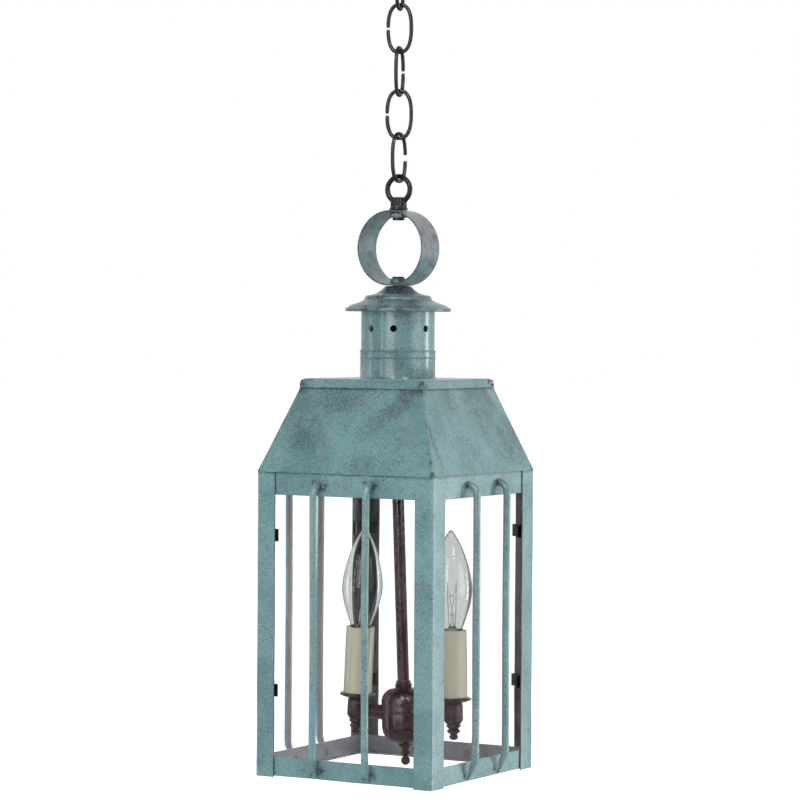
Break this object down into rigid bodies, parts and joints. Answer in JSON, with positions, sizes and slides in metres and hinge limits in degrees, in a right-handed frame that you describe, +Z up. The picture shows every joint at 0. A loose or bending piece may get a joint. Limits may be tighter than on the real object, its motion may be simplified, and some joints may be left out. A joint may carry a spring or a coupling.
{
  "type": "hanging lantern",
  "caption": "Square hanging lantern with glazed guard-barred sides, hipped roof, vented chimney, carrying ring, oval-link chain and a candle cluster inside.",
  "frame": {"origin": "the hanging point: inside top of the uppermost chain link, on the lantern's vertical axis", "axes": "+Z up along the chain and the lantern's axis; the front face looks along -Y and the ring's axis runs along Y; +X to the right seen from the front"},
  "size_m": [0.199, 0.199, 0.7161],
  "materials": {
    "verdigris": "matte mottled verdigris patina over brass sheet",
    "chain": "satin black-brown",
    "bronze": "satin dark plum bronze",
    "steel": "dull zinc",
    "dark_clip": "blackened",
    "pane_glass": "clear",
    "bulb_glass": "clear blown",
    "brass_base": "bright",
    "ivory": "satin ivory",
    "phenolic": "satin black",
    "lead": "satin",
    "connector": "satin"
  },
  "bodies": {
    "top_link": {"chain_link_1": "chain"},
    "link_2": {"chain_link_2": "chain"},
    "link_3": {"chain_link_3": "chain"},
    "link_4": {"chain_link_4": "chain"},
    "link_5": {"chain_link_5": "chain"},
    "lantern": {"corner_post_front_left": "verdigris", "corner_post_front_right": "verdigris", "corner_post_rear_right": "verdigris", "corner_post_rear_left": "verdigris", "top_rail_front": "verdigris", "bottom_rail_front": "verdigris", "guard_bars_front": "verdigris", "glass_pane_front": "pane_glass", "roof_panel_front": "verdigris", "top_rail_right": "verdigris", "bottom_rail_right": "verdigris", "guard_bars_right": "verdigris", "glass_pane_right": "pane_glass", "roof_panel_right": "verdigris", "top_rail_rear": "verdigris", "bottom_rail_rear": "verdigris", "guard_bars_rear": "verdigris", "glass_pane_rear": "pane_glass", "roof_panel_rear": "verdigris", "top_rail_left": "verdigris", "bottom_rail_left": "verdigris", "guard_bars_left": "verdigris", "glass_pane_left": "pane_glass", "roof_panel_left": "verdigris", "roof_tray": "verdigris", "chimney_tube": "verdigris", "chimney_collar": "verdigris", "chimney_cap": "verdigris", "hanging_ring": "verdigris", "glass_clips": "dark_clip", "hanging_loop": "bronze", "threaded_nipples": "steel", "lock_nuts": "bronze", "crossbar": "steel", "stem_pipe": "bronze", "check_ring": "bronze", "cluster_body_upper": "bronze", "cluster_body_lower": "bronze", "cluster_finial": "bronze", "arm_left": "bronze", "candle_cup_left": "bronze", "socket_left": "phenolic", "socket_lead_left": "lead", "arm_right": "bronze", "candle_cup_right": "bronze", "socket_right": "phenolic", "socket_lead_right": "lead", "socket_brackets": "steel", "wire_connectors": "connector"},
    "sleeve_left": {"candle_sleeve_left": "ivory"},
    "sleeve_right": {"candle_sleeve_right": "ivory"},
    "bulb_left": {"bulb_glass_left": "bulb_glass", "bulb_base_left": "brass_base"},
    "bulb_right": {"bulb_glass_right": "bulb_glass", "bulb_base_right": "brass_base"}
  },
  "joints": [
    {"name": "link_2_swing", "type": "hinge", "parent": "top_link", "child": "link_2", "pos_m": [0, 0, -0.0398], "axis": [-0.2419, 0.9703, 0], "range_deg": [-40, 40]},
    {"name": "link_3_swing", "type": "hinge", "parent": "link_2", "child": "link_3", "pos_m": [0, 0, -0.0776], "axis": [-0.9781, -0.2079, 0], "range_deg": [-40, 40]},
    {"name": "link_4_swing", "type": "hinge", "parent": "link_3", "child": "link_4", "pos_m": [0, 0, -0.1154], "axis": [-0.2419, 0.9703, 0], "range_deg": [-40, 40]},
    {"name": "link_5_swing", "type": "hinge", "parent": "link_4", "child": "link_5", "pos_m": [0, 0, -0.1532], "axis": [-0.9205, -0.3907, 0], "range_deg": [-40, 40]},
    {"name": "lantern_swing", "type": "hinge", "parent": "link_5", "child": "lantern", "pos_m": [0, 0, -0.191], "axis": [0, 1, 0], "range_deg": [-30, 30]},
    {"name": "sleeve_left_slide", "type": "slide", "parent": "lantern", "child": "sleeve_left", "axis": [0.0471, 0, 0.9989], "range_m": [0, 0.004]},
    {"name": "bulb_left_slide", "type": "slide", "parent": "lantern", "child": "bulb_left", "axis": [0.0471, 0, 0.9989], "range_m": [0, 0.03]},
    {"name": "sleeve_right_slide", "type": "slide", "parent": "lantern", "child": "sleeve_right", "axis": [-0.0227, 0, 0.9997], "range_m": [0, 0.004]},
    {"name": "bulb_right_slide", "type": "slide", "parent": "lantern", "child": "bulb_right", "axis": [-0.0227, 0, 0.9997], "range_m": [0, 0.03]}
  ]
}
